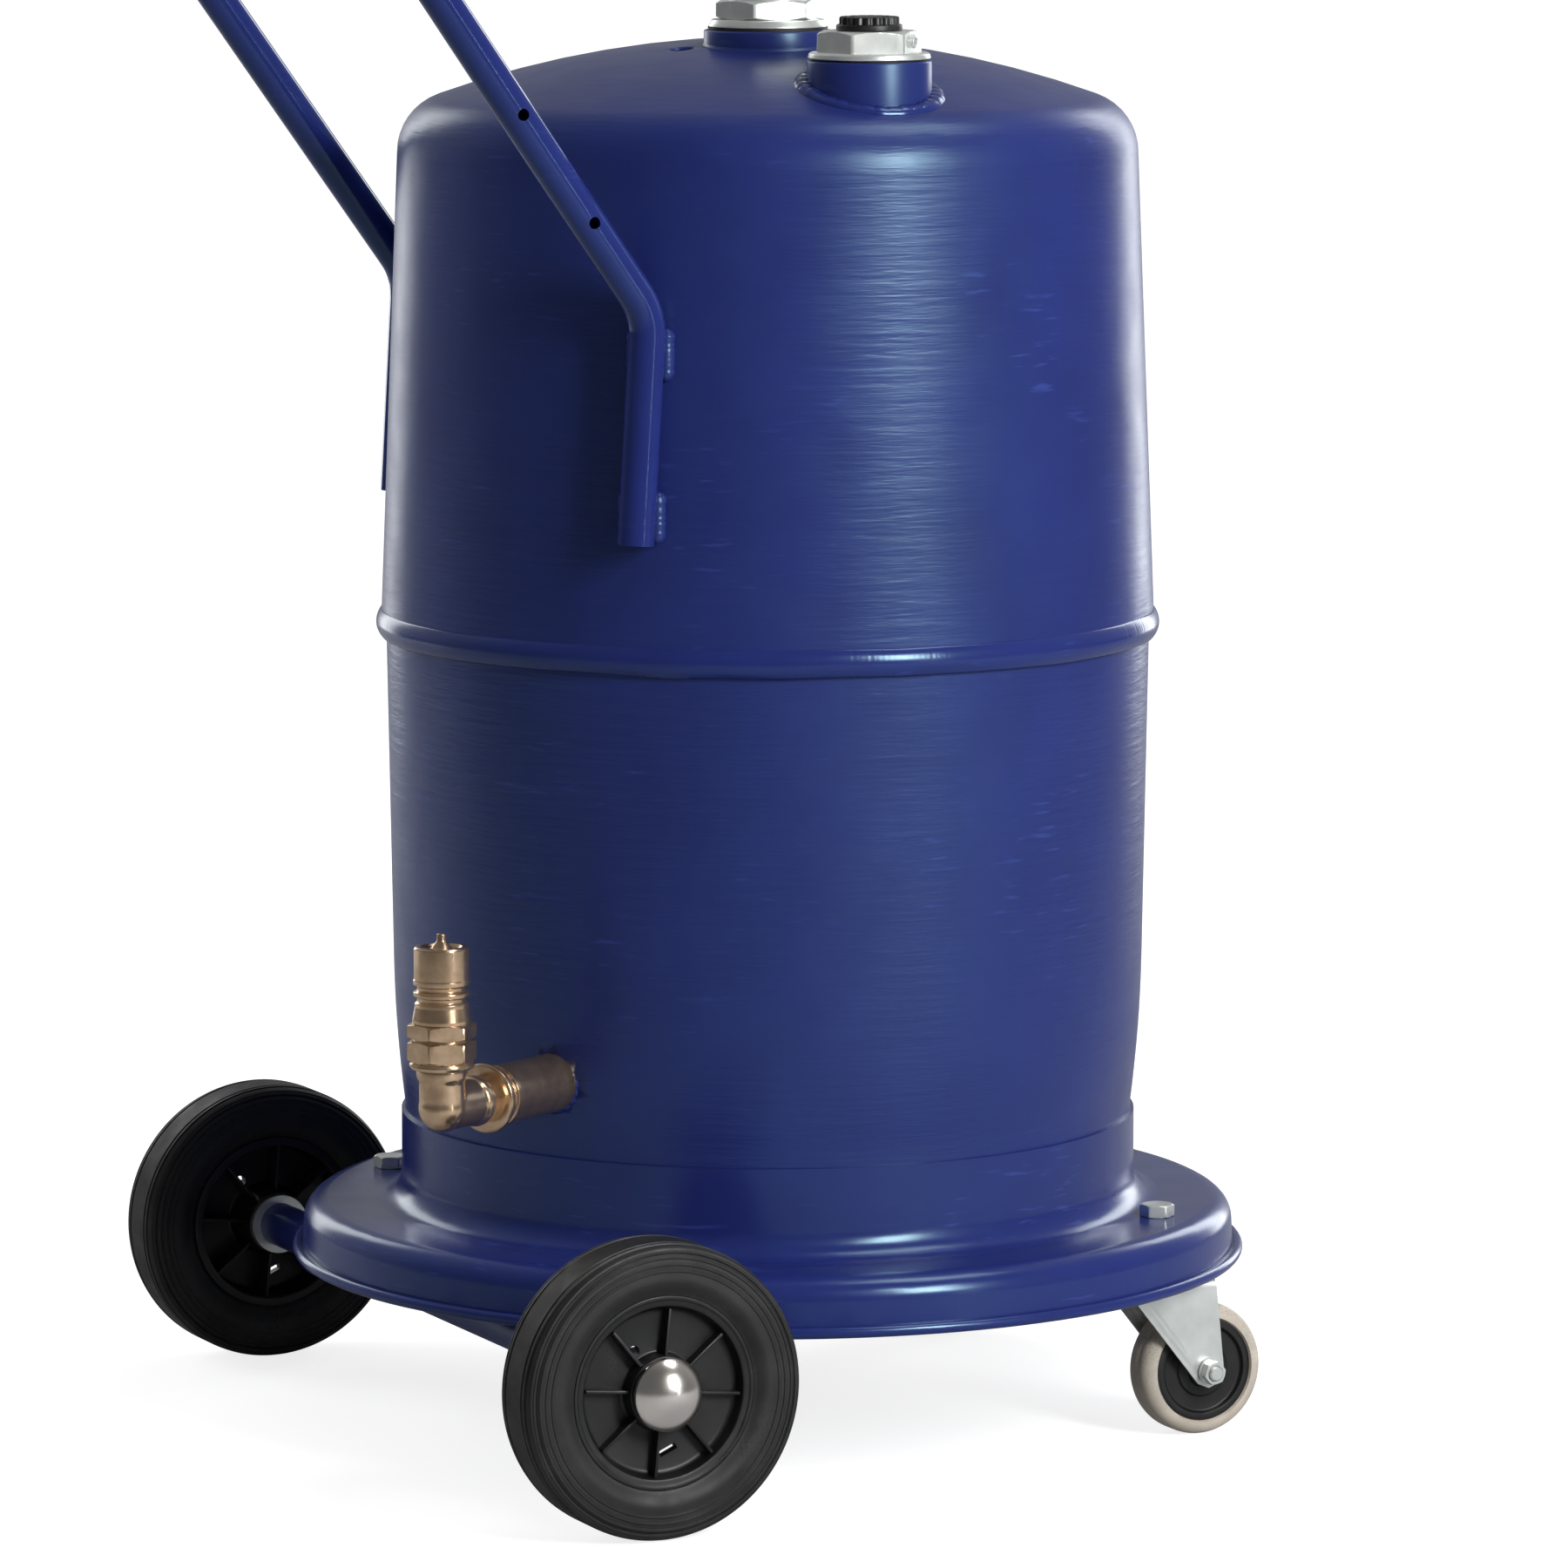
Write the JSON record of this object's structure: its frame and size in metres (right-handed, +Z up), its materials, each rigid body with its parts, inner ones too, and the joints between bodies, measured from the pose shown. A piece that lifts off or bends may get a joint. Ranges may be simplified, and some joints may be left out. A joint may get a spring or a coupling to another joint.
{
  "type": "bead seater blaster tank",
  "caption": "Wheeled round steel pressure tank of two drawn shells on a skirted base ring, with a push handle, two filler necks and a brass drain coupling.",
  "frame": {"origin": "on the floor, under the middle of the whole object's bounding box", "axes": "+Z up; +X along the axle towards the filler neck; the handle and the axle are towards -Y and the castors towards +Y"},
  "size_m": [0.6074, 0.6826, 1.005],
  "materials": {
    "blue_paint": "satin gloss",
    "zinc_plate": "bright zinc",
    "brass": "tarnished",
    "black_rubber": "matt",
    "black_plastic": "matt",
    "steel": "turned",
    "chrome": "polished",
    "black_tyre": "matt",
    "hub_plastic": "moulded",
    "nylon": "natural",
    "grey_rubber": "moulded"
  },
  "bodies": {
    "tank": {"upper_shell": "blue_paint", "lower_shell": "blue_paint", "seam_weld": "blue_paint", "base_ring": "blue_paint", "outlet_neck": "blue_paint", "outlet_gasket": "black_rubber", "outlet_adaptor": "zinc_plate", "gauge_port_plug": "black_plastic", "filler_neck": "blue_paint", "filler_neck_weld": "blue_paint", "handle_tube": "blue_paint", "handle_welds": "blue_paint", "drain_sleeve": "brass", "drain_elbow": "brass", "elbow_ring": "brass", "coupling_nut": "brass", "coupling_body": "brass", "poppet_guide": "brass", "poppet_spring": "steel", "axle_tube": "blue_paint", "axle_shaft": "steel", "axle_bracket_left": "blue_paint", "axle_bracket_right": "blue_paint", "flange_bolts": "zinc_plate", "flange_nuts": "zinc_plate", "castor_bosses": "blue_paint", "castor_heads": "zinc_plate", "axle_washers": "zinc_plate", "hub_caps": "chrome"},
    "filler_plug": {"filler_plug": "zinc_plate", "filler_gasket": "black_rubber", "bleed_screw": "zinc_plate"},
    "vent_cap": {"vent_cap": "black_plastic", "vent_seal": "black_rubber"},
    "drain_valve": {"coupling_poppet": "brass", "poppet_seal": "black_rubber"},
    "wheel_left": {"wheel_tyre_left": "black_tyre", "wheel_hub_left": "hub_plastic", "wheel_bush_left": "nylon"},
    "castor_left": {"castor_fork_left": "zinc_plate", "castor_balls_left": "steel", "castor_bolt_left": "zinc_plate", "castor_nut_left": "zinc_plate", "castor_spacer_left": "steel"},
    "castor_wheel_left": {"castor_hub_left": "hub_plastic", "castor_tyre_left": "grey_rubber"},
    "wheel_right": {"wheel_tyre_right": "black_tyre", "wheel_hub_right": "hub_plastic", "wheel_bush_right": "nylon"},
    "castor_right": {"castor_fork_right": "zinc_plate", "castor_balls_right": "steel", "castor_bolt_right": "zinc_plate", "castor_nut_right": "zinc_plate", "castor_spacer_right": "steel"},
    "castor_wheel_right": {"castor_hub_right": "hub_plastic", "castor_tyre_right": "grey_rubber"}
  },
  "joints": [
    {"name": "wheel_left_spin", "type": "hinge", "parent": "tank", "child": "wheel_left", "pos_m": [-0.27, -0.12602, 0.08], "axis": [1, 0, 0], "continuous": true},
    {"name": "castor_left_swivel", "type": "hinge", "parent": "tank", "child": "castor_left", "pos_m": [-0.16299, 0.23497, 0.095], "axis": [0, 0, 1], "continuous": true},
    {"name": "castor_left_spin", "type": "hinge", "parent": "castor_left", "child": "castor_wheel_left", "pos_m": [-0.16299, 0.25947, 0.0375], "axis": [1, 0, 0], "continuous": true},
    {"name": "wheel_right_spin", "type": "hinge", "parent": "tank", "child": "wheel_right", "pos_m": [0.27, -0.12602, 0.08], "axis": [1, 0, 0], "continuous": true},
    {"name": "castor_right_swivel", "type": "hinge", "parent": "tank", "child": "castor_right", "pos_m": [0.16299, 0.23497, 0.095], "axis": [0, 0, 1], "continuous": true},
    {"name": "castor_right_spin", "type": "hinge", "parent": "castor_right", "child": "castor_wheel_right", "pos_m": [0.16299, 0.25947, 0.0375], "axis": [1, 0, 0], "continuous": true},
    {"name": "filler_plug_lift", "type": "slide", "parent": "tank", "child": "filler_plug", "axis": [0, 0, 1], "range_m": [0, 0.06]},
    {"name": "vent_cap_turn", "type": "hinge", "parent": "filler_plug", "child": "vent_cap", "pos_m": [0.147, 0.06248, 0.79], "axis": [0, 0, 1], "range_deg": [0, 90]},
    {"name": "drain_valve_press", "type": "slide", "parent": "tank", "child": "drain_valve", "axis": [0, 0, -1], "range_m": [0, 0.006], "stiffness_N_per_m": 900, "springref_m": -0.01, "deforming": ["poppet_spring"]}
  ]
}
